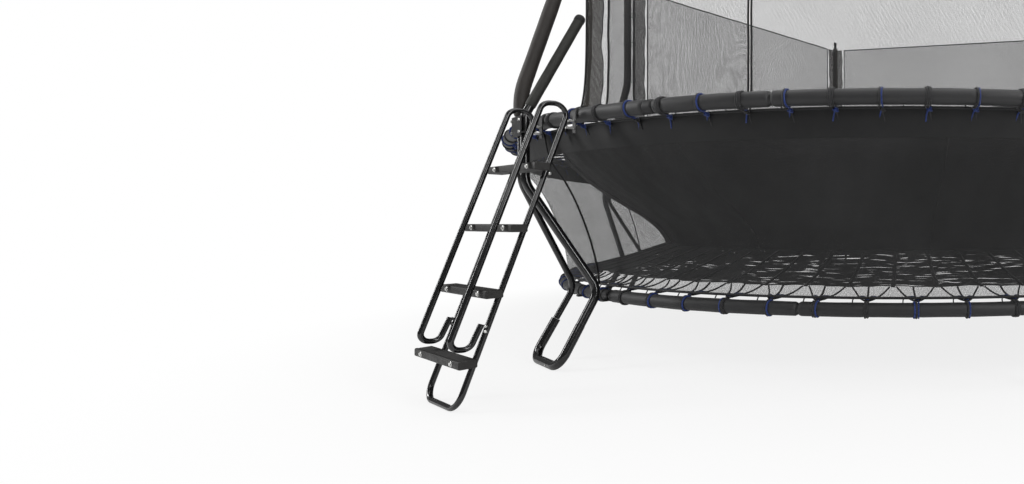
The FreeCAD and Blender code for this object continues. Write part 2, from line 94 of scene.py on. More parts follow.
class Mat:
    def __init__(self, name):
        self.m = bpy.data.materials.new(name)
        self.m.use_nodes = True
        self.nt = self.m.node_tree
        self.nt.nodes.clear()
        self.out = self.nt.nodes.new("ShaderNodeOutputMaterial")
        self.p = self.nt.nodes.new("ShaderNodeBsdfPrincipled")
        self.nt.links.new(self.p.outputs[0], self.out.inputs[0])
        self.co = self.nt.nodes.new("ShaderNodeTexCoord")

    def link(self, a, b):
        self.nt.links.new(a, b)

    def put(self, socket, value):
        if hasattr(value, "is_linked"):
            self.link(value, socket)
        else:
            socket.default_value = value

    def map(self, source, scale=(1, 1, 1), rot=(0, 0, 0)):
        n = self.nt.nodes.new("ShaderNodeMapping")
        n.inputs["Scale"].default_value = scale
        n.inputs["Rotation"].default_value = rot
        self.link(source, n.inputs["Vector"])
        return n.outputs[0]

    def noise(self, vec, scale, detail=3.0, rough=0.55, dist=0.0):
        n = self.nt.nodes.new("ShaderNodeTexNoise")
        n.inputs["Scale"].default_value = scale
        n.inputs["Detail"].default_value = detail
        n.inputs["Roughness"].default_value = rough
        n.inputs["Distortion"].default_value = dist
        self.link(vec, n.inputs["Vector"])
        return n.outputs["Fac"]

    def wave(self, vec, scale, dist=0.0, detail=0.0, direction="X"):
        n = self.nt.nodes.new("ShaderNodeTexWave")
        n.wave_type = "BANDS"
        n.bands_direction = direction
        n.inputs["Scale"].default_value = scale
        n.inputs["Distortion"].default_value = dist
        n.inputs["Detail"].default_value = detail
        n.inputs["Detail Scale"].default_value = 1.0
        self.link(vec, n.inputs["Vector"])
        return n.outputs["Fac"]

    def math(self, op, a, b=0.0, c=0.0, clamp=False):
        n = self.nt.nodes.new("ShaderNodeMath")
        n.operation = op
        n.use_clamp = clamp
        self.put(n.inputs[0], a)
        self.put(n.inputs[1], b)
        if len(n.inputs) > 2:
            self.put(n.inputs[2], c)
        return n.outputs[0]

    def span(self, value, a, b, c=0.0, d=1.0, smooth=False):
        n = self.nt.nodes.new("ShaderNodeMapRange")
        n.clamp = True
        if smooth:
            n.interpolation_type = "SMOOTHSTEP"
        self.link(value, n.inputs["Value"])
        for i, v in (("From Min", a), ("From Max", b), ("To Min", c), ("To Max", d)):
            self.put(n.inputs[i], v)
        return n.outputs["Result"]

    def mix(self, fac, a, b):
        n = self.nt.nodes.new("ShaderNodeMix")
        n.data_type = "RGBA"
        self.put(n.inputs[0], fac)
        self.put(n.inputs[6], a if hasattr(a, "is_linked") else lin(a))
        self.put(n.inputs[7], b if hasattr(b, "is_linked") else lin(b))
        return n.outputs[2]

    def sep(self, vec):
        n = self.nt.nodes.new("ShaderNodeSeparateXYZ")
        self.link(vec, n.inputs[0])
        return n.outputs

    def bump(self, height, strength, distance, chain=None):
        n = self.nt.nodes.new("ShaderNodeBump")
        n.inputs["Strength"].default_value = strength
        n.inputs["Distance"].default_value = distance
        self.link(height, n.inputs["Height"])
        if chain is not None:
            self.link(chain, n.inputs["Normal"])
        return n.outputs[0]

    def finish(self, color, rough, normal=None, metal=0.0, spec=0.5, coat=0.0, coat_rough=0.1, sheen=0.0,
               sheen_rough=0.4, alpha=None):
        p = self.p
        self.put(p.inputs["Base Color"], color)
        self.put(p.inputs["Roughness"], rough)
        p.inputs["Metallic"].default_value = metal
        p.inputs["Specular IOR Level"].default_value = spec
        p.inputs["Coat Weight"].default_value = coat
        p.inputs["Coat Roughness"].default_value = coat_rough
        p.inputs["Sheen Weight"].default_value = sheen
        p.inputs["Sheen Roughness"].default_value = sheen_rough
        if normal is not None:
            self.link(normal, p.inputs["Normal"])
        if alpha is not None:
            self.link(alpha, p.inputs["Alpha"])
        return self.m


def painted(name, dark, light, rough=(0.2, 0.34), coat=0.3, dust=0.35, spec=0.5, peel=0.12):
    m = Mat(name)
    obj = m.co.outputs["Object"]
    large = m.noise(obj, 3.0, 4.0)
    mid = m.noise(obj, 38.0, 6.0, 0.62)
    fine = m.noise(obj, 420.0, 2.0)
    color = m.mix(m.span(large, 0.35, 0.65), dark, light)
    worn = m.span(mid, 0.6, 0.74, 0.0, dust, True)
    color = m.mix(worn, color, tuple(min(1.0, c * 2.6 + 0.012) for c in light))
    r = m.math("ADD", m.span(mid, 0.3, 0.75, rough[0], rough[1]), m.span(fine, 0.3, 0.7, -0.03, 0.03), clamp=True)
    normal = m.bump(fine, peel, 0.0004, m.bump(mid, 0.05, 0.0008))
    return m.finish(color, r, normal, spec=spec, coat=coat, coat_rough=0.08)


def moulded(name, dark, light, rough=(0.42, 0.6), grain=900.0, spec=0.4, grime=0.4):
    m = Mat(name)
    obj = m.co.outputs["Object"]
    large = m.noise(obj, 6.0, 4.0)
    fine = m.noise(obj, grain, 3.0, 0.6)
    mid = m.noise(obj, 60.0, 5.0, 0.6)
    color = m.mix(m.span(large, 0.3, 0.7), dark, light)
    color = m.mix(m.span(mid, 0.58, 0.72, 0.0, grime, True), color, tuple(c * 1.9 + 0.01 for c in light))
    r = m.span(mid, 0.3, 0.7, rough[0], rough[1])
    return m.finish(color, r, m.bump(fine, 0.35, 0.0003, m.bump(mid, 0.08, 0.001)), spec=spec)


def steel(name, tint, rough=(0.22, 0.4)):
    m = Mat(name)
    obj = m.co.outputs["Object"]
    mid = m.noise(obj, 300.0, 5.0)
    lines = m.noise(m.map(obj, (60, 60, 1600)), 1.0, 2.0)
    color = m.mix(m.span(mid, 0.35, 0.7), tint, tuple(c * 0.72 for c in tint))
    r = m.span(lines, 0.3, 0.7, rough[0], rough[1])
    return m.finish(color, r, m.bump(lines, 0.2, 0.0002), metal=1.0)


def woven(name, dark, light, pitch=0.0016, rough=(0.6, 0.78), sheen=0.25, twill=False, fleck=0.5, depth=0.0005,
          spec=0.35, painted_glint=None):
    m = Mat(name)
    uv = m.co.outputs["UV"]
    x, y, _ = m.sep(uv)
    k = math.pi / pitch
    if twill:
        warp = m.math("SINE", m.math("MULTIPLY", m.math("ADD", x, y), k))
        weft = m.math("SINE", m.math("MULTIPLY", m.math("SUBTRACT", x, m.math("MULTIPLY", y, 0.35)), k * 0.7))
    else:
        warp = m.math("SINE", m.math("MULTIPLY", x, k))
        weft = m.math("SINE", m.math("MULTIPLY", y, k))
    grid = m.math("MULTIPLY_ADD", m.math("MULTIPLY", warp, weft), 0.5, 0.5)
    large = m.noise(m.co.outputs["Object"], 5.0, 5.0, 0.6)
    yarn = m.noise(m.map(uv, (900, 220, 1)), 1.0, 3.0)
    color = m.mix(m.span(large, 0.32, 0.68), dark, light)
    color = m.mix(m.math("MULTIPLY", m.span(yarn, 0.45, 0.75), fleck), color, tuple(c * 1.8 + 0.006 for c in light))
    # painted shade: the colour darkens towards the troughs of the weave, where the yarns cross
    color = m.mix(m.math("MULTIPLY", m.span(grid, 0.0, 0.45, 1.0, 0.0), 0.55), color, tuple(c * 0.35 for c in dark))
    # painted highlight: pale streaks mixed into the colour stand in for light glinting on the creases of the fabric
    if painted_glint is not None:
        su, sv, glint_amount, glint_colour = painted_glint
        line = m.noise(m.map(uv, (su, sv, 1)), 1.0, 4.0, 0.7)
        glint_patch = m.noise(uv, 2.6, 2.0)
        glint_mask = m.math("MULTIPLY", m.span(line, 0.66, 0.74, 0.0, 1.0, True), m.span(glint_patch, 0.5, 0.62))
        color = m.mix(m.math("MULTIPLY", glint_mask, glint_amount), color, glint_colour)
    r = m.math("ADD", m.span(yarn, 0.3, 0.7, rough[0], rough[1]), m.span(grid, 0.0, 1.0, 0.04, -0.04), clamp=True)
    normal = m.bump(grid, 0.55, depth, m.bump(yarn, 0.25, depth * 0.6, m.bump(large, 0.12, 0.004)))
    return m.finish(color, r, normal, sheen=sheen, spec=spec)


def netting(name, dark, light, pitch=0.0042, open_at=0.34, moire=0.16, bands=(11.0, 15.0), spec=0.3, rough=(0.55, 0.75)):
    m = Mat(name)
    uv = m.co.outputs["UV"]
    x, y, _ = m.sep(uv)
    k = math.pi / pitch
    a = m.math("SINE", m.math("MULTIPLY", m.math("ADD", x, m.math("MULTIPLY", y, 0.58)), k))
    b = m.math("SINE", m.math("MULTIPLY", m.math("SUBTRACT", x, m.math("MULTIPLY", y, 0.58)), k))
    hole = m.math("ABSOLUTE", m.math("MULTIPLY", a, b))
    w1 = m.wave(m.map(uv, (1, 1, 1), (0, 0, 0.5)), bands[0], 2.0, 1.0)
    w2 = m.wave(m.map(uv, (1, 1, 1), (0, 0, -0.95)), bands[1], 1.5, 0.5)
    large = m.noise(uv, 1.7, 3.0)
    dense = m.math("ADD", m.math("MULTIPLY_ADD", m.math("ADD", w1, m.math("MULTIPLY", w2, 0.5)), moire, open_at - 0.75 * moire),
                   m.span(large, 0.3, 0.7, -0.035, 0.035))
    alpha = m.math("SUBTRACT", 1.0, m.span(m.math("SUBTRACT", hole, dense), -0.05, 0.05, 0.0, 1.0), clamp=True)
    yarn = m.noise(m.map(uv, (700, 700, 1)), 1.0, 2.0)
    color = m.mix(m.span(yarn, 0.3, 0.7), dark, light)
    color = m.mix(m.span(large, 0.4, 0.75, 0.0, 0.4), color, tuple(c * 1.5 for c in light))
    normal = m.bump(m.math("SUBTRACT", 1.0, hole), 0.5, 0.0006)
    return m.finish(color, m.span(yarn, 0.3, 0.7, rough[0], rough[1]), normal, spec=spec, alpha=alpha)


def braid(name, dark, light, strands=7.0, lay=0.007, rough=(0.5, 0.68), spec=0.4):
    m = Mat(name)
    uv = m.co.outputs["UV"]
    x, y, _ = m.sep(uv)
    around = m.math("MULTIPLY", x, 2 * math.pi * strands)
    along = m.math("MULTIPLY", y, 2 * math.pi / lay)
    s1 = m.math("SINE", m.math("ADD", around, along))
    s2 = m.math("SINE", m.math("SUBTRACT", around, along))
    cross = m.math("MAXIMUM", s1, s2)
    lump = m.noise(m.co.outputs["Object"], 160.0, 3.0)
    # painted shade and highlight: the colour runs from dark in the grooves between strands to light on the crests
    color = m.mix(m.span(cross, -0.2, 1.0), dark, light)
    color = m.mix(m.span(lump, 0.55, 0.75, 0.0, 0.5), color, tuple(c * 1.5 + 0.01 for c in light))
    r = m.span(lump, 0.3, 0.7, rough[0], rough[1])
    return m.finish(color, r, m.bump(cross, 0.6, 0.0005), sheen=0.2, spec=spec)


M = {
    "gloss": painted("gloss_black_paint", (0.0055, 0.0055, 0.006), (0.010, 0.010, 0.011), (0.13, 0.24), 0.5, 0.10),
    "bracket": painted("satin_black_paint", (0.010, 0.010, 0.011), (0.019, 0.019, 0.020), (0.34, 0.5), 0.0, 0.3),
    "tube": painted("dark_tube_paint", (0.016, 0.016, 0.017), (0.028, 0.028, 0.029), (0.3, 0.44), 0.1, 0.3),
    "bolt": steel("zinc_bolt", (0.80, 0.80, 0.78)),
    "plastic": moulded("black_plastic_grain", (0.011, 0.011, 0.012), (0.020, 0.020, 0.021)),
    "tread": moulded("tread_plastic", (0.012, 0.0115, 0.011), (0.024, 0.023, 0.022), (0.4, 0.62), 700.0, 0.42, 0.5),
    "sleeve": woven("ring_sleeve_cover", (0.013, 0.013, 0.014), (0.022, 0.022, 0.023), 0.0014, (0.42, 0.58), 0.15,
                    False, 0.25, 0.00025, 0.5),
    "foam": woven("pole_foam_cover", (0.022, 0.0185, 0.0165), (0.034, 0.029, 0.0255), 0.0012, (0.5, 0.66), 0.2,
                  True, 0.3, 0.0003, 0.45),
    "stay": woven("stay_cover", (0.024, 0.024, 0.021), (0.036, 0.036, 0.032), 0.0012, (0.52, 0.68), 0.2, True, 0.3,
                  0.0003, 0.4),
    "corner": netting("corner_fabric", (0.018, 0.0155, 0.013), (0.036, 0.031, 0.026), 0.0034, 0.80, 0.09, (14.0, 19.0)),
    "net": netting("net_knit", (0.020, 0.020, 0.021), (0.045, 0.045, 0.047), 0.0042, 0.325, 0.06, (20.0, 27.0)),
    "skirt": netting("skirt_knit", (0.022, 0.022, 0.022), (0.05, 0.05, 0.051), 0.0042, 0.40, 0.07, (24.0, 18.0)),
    "mat": woven("mat_weave_black", (0.012, 0.012, 0.013), (0.022, 0.022, 0.023), 0.0032, (0.4, 0.56), 0.1, False, 0.4,
                 0.0006, 0.4),
    "hem": woven("hem_webbing", (0.012, 0.012, 0.013), (0.025, 0.025, 0.026), 0.0022, (0.55, 0.72), 0.25, True, 0.5,
                 0.0006),
    "bead": woven("hem_stitching", (0.16, 0.16, 0.165), (0.3, 0.3, 0.31), 0.003, (0.6, 0.75), 0.1, True, 0.3, 0.0004),
    # the cone's fabric carries painted highlight: pale streaks for light glinting on its creases
    "cone": woven("under_mat_fabric", (0.008, 0.0077, 0.008), (0.016, 0.0152, 0.0156), 0.0026, (0.62, 0.8), 0.08, False,
                  0.7, 0.0006, 0.25, (5.0, 120.0, 0.7, (0.22, 0.2, 0.2))),
    "strap": woven("black_strap_web", (0.010, 0.010, 0.011), (0.022, 0.022, 0.023), 0.0018, (0.5, 0.7), 0.2, True,
                   0.4, 0.0004),
    "cordblack": braid("black_braid", (0.008, 0.008, 0.009), (0.024, 0.024, 0.026)),
    "cordblue": braid("blue_braid", (0.005, 0.013, 0.075), (0.016, 0.048, 0.24)),
    "piping": woven("black_piping", (0.006, 0.006, 0.0065), (0.013, 0.013, 0.0135), 0.0018, (0.45, 0.62), 0.05, True, 0.3,
                    0.0003),
}

# ---------------------------------------------------------------- mesh helpers


class Build:
    def __init__(self):
        self.v, self.f, self.m, self.uv, self.n = [], [], [], [], 0

    def add(self, v, f, uv=None, m=0):
        v = np.asarray(v, float).reshape(-1, 3)
        uv = np.zeros((len(v), 2)) if uv is None else np.asarray(uv, float).reshape(-1, 2)
        self.v.append(v)
        self.uv.append(uv)
        self.f += [tuple(int(i) + self.n for i in q) for q in f]
        self.m += [m] * len(f)
        self.n += len(v)
        return self

    def grid(self, pts, uv, m=0, wrap=False, flip=False):
        a, b = pts.shape[:2]
        f = []
        for i in range(a - 1):
            for j in range(b if wrap else b - 1):
                q = (i * b + j, i * b + (j + 1) % b, (i + 1) * b + (j + 1) % b, (i + 1) * b + j)
                f.append(q[::-1] if flip else q)
        return self.add(pts.reshape(-1, 3), f, uv.reshape(-1, 2), m)

    def tube(self, path, r, sides=12, m=0, closed=False, cap=True, around=None, up=None, turns=1.0):
        path = np.asarray(path, float)
        n = len(path)
        if closed:
            t = np.roll(path, -1, 0) - np.roll(path, 1, 0)
        else:
            t = np.gradient(path, axis=0)
        t /= np.linalg.norm(t, axis=1)[:, None]
        ref = np.array([0, 0, 1.0]) if up is None else np.asarray(up, float)
        if up is None and abs(t[0] @ ref) > 0.9:
            ref = np.array([1.0, 0, 0])
        u = np.zeros_like(path)
        cur = ref - (ref @ t[0]) * t[0]
        for i in range(n):
            if up is not None:
                cur = ref
            cur = cur - (cur @ t[i]) * t[i]
            cur /= np.linalg.norm(cur)
            u[i] = cur
        w = np.cross(t, u)
        ang = np.arange(sides) / sides * 2 * math.pi
        s = np.concatenate([[0], np.cumsum(np.linalg.norm(np.diff(path, axis=0), axis=1))])
        rr = np.broadcast_to(np.asarray(r, float).reshape(-1, 1) if np.ndim(r) == 1 else r, (n, sides))
        if around is not None:
            rr = rr + around(s[:, None], ang[None, :])
        pts = path[:, None] + rr[..., None] * (np.cos(ang)[None, :, None] * u[:, None] + np.sin(ang)[None, :, None] * w[:, None])
        mean = float(np.mean(rr))
        uu = np.broadcast_to((ang / (2 * math.pi) * turns) if turns != 1.0 else ang * mean, (n, sides))
        if turns == 1.0:
            uu = np.broadcast_to(ang * mean, (n, sides))
        uv = np.stack([uu, np.broadcast_to(s[:, None], (n, sides))], -1)
        f = []
        for i in range(n if closed else n - 1):
            k = (i + 1) % n
            for j in range(sides):
                l = (j + 1) % sides
                f.append((i * sides + j, k * sides + j, k * sides + l, i * sides + l))
        if cap and not closed:
            f.append(tuple(range(sides)))
            f.append(tuple((n - 1) * sides + j for j in reversed(range(sides))))
        return self.add(pts.reshape(-1, 3), f, uv.reshape(-1, 2), m)

    def object(self, name, mats, body="frame", slot=None, smooth=True, ride=True):
        me = bpy.data.meshes.new(name)
        v = np.concatenate(self.v)
        uv = np.concatenate(self.uv)
        me.from_pydata(v.tolist(), [], self.f)
        for m in mats:
            me.materials.append(M[m])
        me.polygons.foreach_set("material_index", np.array(self.m, np.int32))
        me.polygons.foreach_set("use_smooth", np.full(len(self.f), smooth, bool))
        layer = me.uv_layers.new(name="UVMap")
        idx = np.zeros(len(me.loops), np.int32)
        me.loops.foreach_get("vertex_index", idx)
        layer.data.foreach_set("uv", uv[idx].astype(np.float32).ravel())
        me.update()
        o = bpy.data.objects.new(name, me)
        scene.collection.objects.link(o)
        if ride:
            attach(o, body)
        return o


def braid_tube(b, path, r, m, sides=8, closed=False):
    return b.tube(path, r, sides, m, closed=closed, turns=0.999)


def fillet(points, radii, step=0.02):
    points = [np.asarray(p, float) for p in points]
    out = [points[0]]
    for i in range(1, len(points) - 1):
        p, a, b, r = points[i], points[i - 1], points[i + 1], radii[i - 1]
        u, v = (a - p) / np.linalg.norm(a - p), (b - p) / np.linalg.norm(b - p)
        ang = math.acos(max(-1, min(1, float(u @ v))))
        cut = r / math.tan(ang / 2)
        t1, t2 = p + u * cut, p + v * cut
        mid = (u + v) / np.linalg.norm(u + v)
        c = p + mid * (r / math.sin(ang / 2))
        a0, a1 = t1 - c, t2 - c
        sweep = math.pi - ang
        for q in np.linspace(0, 1, max(4, int(sweep / 0.05))):
            w = math.sin((1 - q) * sweep) / math.sin(sweep) * a0 + math.sin(q * sweep) / math.sin(sweep) * a1
            out.append(c + w)
    out.append(points[-1])
    out = np.array(out)
    s = np.concatenate([[0], np.cumsum(np.linalg.norm(np.diff(out, axis=0), axis=1))])
    keep = np.concatenate([[True], np.diff(s) > 1e-7])
    out, s = out[keep], s[keep]
    n = max(4, int(s[-1] / step))
    q = np.linspace(0, s[-1], n + 1)
    return np.stack([np.interp(q, s, out[:, i]) for i in range(3)], -1)


def curve(points, n=12):
    p = np.asarray(points, float)
    k = len(p)
    t = np.linspace(0, k - 1, n)
    out = []
    for x in t:
        i = min(int(x), k - 2)
        f = x - i
        p0, p1, p2, p3 = p[max(i - 1, 0)], p[i], p[i + 1], p[min(i + 2, k - 1)]
        out.append(0.5 * (2 * p1 + (p2 - p0) * f + (2 * p0 - 5 * p1 + 4 * p2 - p3) * f * f
                          + (3 * p1 - p0 - 3 * p2 + p3) * f ** 3))
    return np.array(out)


def ripple(s, waves):
    total = 0.0
    for k, ph, amp in waves:
        total = total + amp * np.sin(k * s + ph)
    return total


# ---------------------------------------------------------------- positions round the rings
def near_unit(az, spread):
    return (az - UNIT + STEP / 2) % STEP - STEP / 2, spread


upper_at = []
for i in range(96):
    a = 3.75 * (i + 0.5)
    d = (a - UNIT + 30) % 60 - 30
    if abs(d) < 1.7:
        a += math.copysign(1.7, d) - d
    upper_at.append(a)
lower_at = []
for i in range(72):
    a = 5.0 * i
    d = (a - UNIT + 30) % 60 - 30
    for c in (-3.44, 3.44):
        if abs(d - c) < 1.1:
            a += math.copysign(1.1, d - c) - (d - c)
    lower_at.append(a)
collar_at = [UNIT - 18.65 + 60 * k for k in range(6)]

# ---------------------------------------------------------------- padded sleeves on the rings
def sleeves(name, node, r, z, runs, wraps, slot, gaps=()):
    b = Build()
    cuts = []
    for a0, a1 in runs:
        points = [a0]
        for g0, g1 in gaps:
            for s in (-360, 0, 360):
                if a0 < g0 + s < a1:
                    points += [g0 + s, g1 + s]
        points.append(a1)
        points.sort()
        cuts += [(points[i], points[i + 1]) for i in range(0, len(points), 2)]
    wr = np.array([w + s for w in wraps for s in (-360, 0, 360)])
    for a0, a1 in cuts:
        n = max(8, int(math.radians(a1 - a0) * r / 0.0075))
        az = np.linspace(a0, a1, n)
        arc = np.radians(az - a0) * r
        total = arc[-1]
        edge = np.minimum(arc, total - arc)
        near = np.min(np.abs(az[:, None] - wr[None, :]), axis=1) * math.pi / 180 * r
        rr = SLEEVE - 0.0016 * np.exp(-(near / 0.010) ** 2) + 0.0003 * np.sin(arc * 31 + a0) - 0.0004
        rr = rr - 0.0035 * np.clip(1 - edge / 0.006, 0, 1) ** 2

        def groove(s, ang, a0=a0):
            seam = np.exp(-(((ang - 3.75 + math.pi) % (2 * math.pi) - math.pi) / 0.07) ** 2)
            return -0.0014 * seam + 0.00025 * np.sin(5 * ang + 23 * s + a0)

        b.tube(pols(r, az, z), rr, 28, 0, around=groove, up=(0, 0, 1))
    o = b.object(name, ["sleeve"], "frame", slot)
    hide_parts(node)
    return o


up_runs, low_runs = [], []
for k in range(N):
    A = UNIT + STEP * k
    up_runs += [(A + 1.6, A + 29.88), (A + 30.12, A + 58.4)]
    low_runs += [(A - 2.49, A + 2.49), (A + 4.39, A + 29.88), (A + 30.12, A + 55.61)]
sleeves("upper_ring_padding", "upper_ring_sleeves", RU, ZU, up_runs, upper_at, "ring_sleeve",
        [(c - 0.55, c + 0.55) for c in collar_at])
sleeves("lower_ring_padding", "lower_ring_sleeves", RL, ZL, low_runs, lower_at, "ring_sleeve")

# ring collars where two padding lengths meet, each with a raised strip where its pinch screw sits
b = Build()
for c in collar_at:
    az = np.linspace(c - 0.5, c + 0.5, 14)
    e = np.abs(np.linspace(-1, 1, 14))
    b.tube(pols(RU, az, ZU), 0.0262 - 0.003 * np.clip((e - 0.75) / 0.25, 0, 1) ** 2, 28, 0, up=(0, 0, 1),
           around=lambda s, ang: 0.0012 * (np.abs(((ang - 4.4 + math.pi) % (2 * math.pi)) - math.pi) < 0.35))
b.object("ring_collars", ["plastic"], "frame", "black_plastic")


# ---------------------------------------------------------------- elastic cords: wraps, strands and tails
def wrap_ring(b, r, z, az, rad0, cr, m, tilt=0.0, open_from=None):
    q = np.linspace(0, 2 * math.pi, 27)[:-1]
    da = np.degrees((0.0012 * np.sin(q) * 0 + tilt * np.cos(q)) / r)
    rr = rad0 + 0.0007 * np.sin(3 * q + az)
    pts = np.stack([pol(r + rr[i] * math.cos(q[i]), az + da[i], z + rr[i] * math.sin(q[i])) for i in range(26)])
    braid_tube(b, pts, cr, m, 8, True)


wraps, lower_wraps = Build(), Build()
strands = Build()
for i, a in enumerate(upper_at):
    j = 0.4 * math.sin(i * 2.1)
    wrap_ring(wraps, RU, ZU, a - 0.10, 0.0294, 0.0034, 1 if i % 2 else 0, 0.002)
    wrap_ring(wraps, RU, ZU, a + 0.12, 0.0298, 0.0040, 0, -0.003)
    if i % 2 == 0:
        wrap_ring(wraps, RU, ZU, a + 0.30, 0.0293, 0.0034, 0, -0.004)
    hem = 2.204
    # a black strand under tension and a blue one beside it, from the ring's underside to the edge of the mat
    for da, db, m, rad_c, drop in ((0.12, 0.62, 0, 0.0044, 0.004), (0.16, -0.55, 0, 0.0040, 0.006), (-0.10, 0.05, 1, 0.0028, 0.010)):
        p = curve([pol(RU - 0.012, a + da, ZU - 0.0315), pol(RU - 0.055, a + da + (db - da) * 0.25 + j * 0.1, ZU - 0.026),
                   pol(RU - 0.15, a + da + (db - da) * 0.62, ZU - 0.008 - drop * 0.5), pol(hem, a + db, ZU - 0.003)], 14)
        braid_tube(strands, p, rad_c, m, 8)
    # knot and cut ends under the ring
    k0 = pol(RU - 0.030, a - 0.05, ZU - 0.036)
    q = np.linspace(0, 4.4 * math.pi, 30)
    knot = np.stack([k0[0] + 0.0062 * np.cos(q), k0[1] + 0.0062 * np.sin(q * 1.3), k0[2] + 0.005 * np.sin(q * 0.71)], -1)
    braid_tube(wraps, knot, 0.0036, 1 if i % 3 else 0, 7)
    for s in (-1, 1):
        ln = 0.022 + 0.016 * abs(math.sin(i * 1.7 + s))
        p = curve([k0, pol(RU - 0.034 - ln * 0.3, a + 0.12 * s, ZU - 0.046),
                   pol(RU - 0.038 - ln * 0.5, a + 0.25 * s + 0.1 * j, ZU - 0.046 - ln)], 8)
        braid_tube(wraps, p, 0.0030, 1 if s > 0 else 0, 7)
wraps.object("upper_cord_wraps", ["cordblack", "cordblue"], "frame", "black_cord")
cords = strands.object("mat_cord_strands", ["cordblack", "cordblue"], slot="black_cord", ride=False)
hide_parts("mat_cords")
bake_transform(cords)

straps = Build()
R_APRON, Z_APRON = 2.045, 0.372
for i, a in enumerate(lower_at):
    wrap_ring(lower_wraps, RL, ZL, a - 0.12, 0.0294, 0.0036, 1 if i % 3 else 0, 0.002)
    wrap_ring(lower_wraps, RL, ZL, a + 0.13, 0.0298, 0.0040, 0, -0.002)
    if i % 2:
        wrap_ring(lower_wraps, RL, ZL, a + 0.34, 0.0294, 0.0036, 1 if i % 4 == 1 else 0, -0.003)
    for da, db, m in ((0.13, 2.1, 0), (-0.12, -2.1, 0), (0.0, 0.25, 0)):
        p = curve([pol(RL - 0.012, a + da, ZL + 0.0315), pol(RL - 0.045, a + da + (db - da) * 0.3, ZL + 0.036),
                   pol((RL + R_APRON) / 2 - 0.03, a + da + (db - da) * 0.65, ZL + 0.048), pol(R_APRON + 0.004, a + db, Z_APRON)], 10)
        braid_tube(straps, p, 0.0042 if db == 0.25 else 0.0036, m, 7)
    k0 = pol(RL - 0.026, a - 0.05, ZL + 0.034)
    q = np.linspace(0, 4.4 * math.pi, 26)
    knot = np.stack([k0[0] + 0.0075 * np.cos(q), k0[1] + 0.0075 * np.sin(q * 1.3), k0[2] + 0.005 * np.sin(q * 0.71) + 0.003], -1)
    braid_tube(lower_wraps, knot, 0.0042, 1, 7)
    for s in (-1, 1):
        ln = 0.03 + 0.02 * abs(math.sin(i * 1.3 + s))
        p = curve([k0, pol(RL - 0.045, a + 0.35 * s, ZL + 0.044), pol(RL - 0.05 - ln * 0.5, a + 0.9 * s, ZL + 0.040)], 8)
        braid_tube(lower_wraps, p, 0.0034, 1, 7)
lower_wraps.object("lower_cord_wraps", ["cordblack", "cordblue"], "frame", "black_cord")

# straps from the apron to the waist hoop, flat webbing that ends at the hoop
for i in range(72):
    a = 5.0 * i + 2.5
    line = [pol(R_APRON + 0.012, a, Z_APRON + 0.001), pol(1.9, a, 0.4135), pol(1.76, a, 0.4615), pol(1.662, a, 0.4945)]
    p = curve(line, 10)
    side = pol(1.0, a + 90, 0.0) * 0.0085
    up = np.array([0, 0, 0.0011])
    ring = np.stack([p - side - up, p + side - up, p + side + up, p - side + up], 1)
    s = np.linspace(0, 0.42, 10)
    uv = np.stack([np.broadcast_to(np.array([0, 0.017, 0.0192, 0.036])[None], (10, 4)), np.broadcast_to(s[:, None], (10, 4))], -1)
    straps.grid(ring, uv, 1, wrap=True)
    straps.add(ring[0], [(3, 2, 1, 0)], None, 1)
    straps.add(ring[-1], [(0, 1, 2, 3)], None, 1)
o = straps.object("lower_strap_lacing", ["cordblack", "strap"], "frame", "black_strap")
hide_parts("lower_straps")

# ---------------------------------------------------------------- lower fabric band with slits, round the waist
m = Mat("apron_fabric")
uv_ = m.co.outputs["UV"]
slit = m.noise(m.map(uv_, (7.0, 85.0, 1)), 1.0, 2.0, 0.5)
where = m.noise(m.map(uv_, (1.6, 5.0, 1)), 1.0, 1.0)
cutout = m.math("MULTIPLY", m.span(slit, 0.615, 0.64), m.span(where, 0.42, 0.5))
yarn_ = m.noise(m.map(uv_, (260, 900, 1)), 1.0, 3.0)
big_ = m.noise(uv_, 4.0, 4.0)
col_ = m.mix(m.span(yarn_, 0.3, 0.7), (0.010, 0.010, 0.0105), (0.024, 0.0235, 0.024))
col_ = m.mix(m.span(big_, 0.45, 0.7, 0.0, 0.5), col_, (0.034, 0.033, 0.033))
M["apron"] = m.finish(col_, m.span(yarn_, 0.3, 0.7, 0.6, 0.78), m.bump(yarn_, 0.4, 0.0005), sheen=0.2, spec=0.3,
                      alpha=m.math("SUBTRACT", 1.0, cutout, clamp=True))
b = Build()
az = np.linspace(0, 360, 577)
q = np.linspace(0, 1, 13)
pts, uv = np.zeros((13, 577, 3)), np.zeros((13, 577, 2))
for i, f in enumerate(q):
    r = 1.655 + (R_APRON - 1.655) * f
    edge = 0.010 * f ** 6 * (np.cos(np.radians(az) * 144) - 1)
    z = 0.497 + (Z_APRON - 0.497) * f - 0.006 * math.sin(math.pi * f) + 0.0022 * np.sin(np.radians(az) * 36 + 3 * f)
    pts[i] = pols(r + edge, az, 0.0)
    pts[i, :, 2] = z
    uv[i, :, 0], uv[i, :, 1] = np.radians(az) * 1.85, f * 0.41
b.grid(pts, uv)
o = b.object("lower_band_fabric", ["apron"], "frame", "cone_fabric")

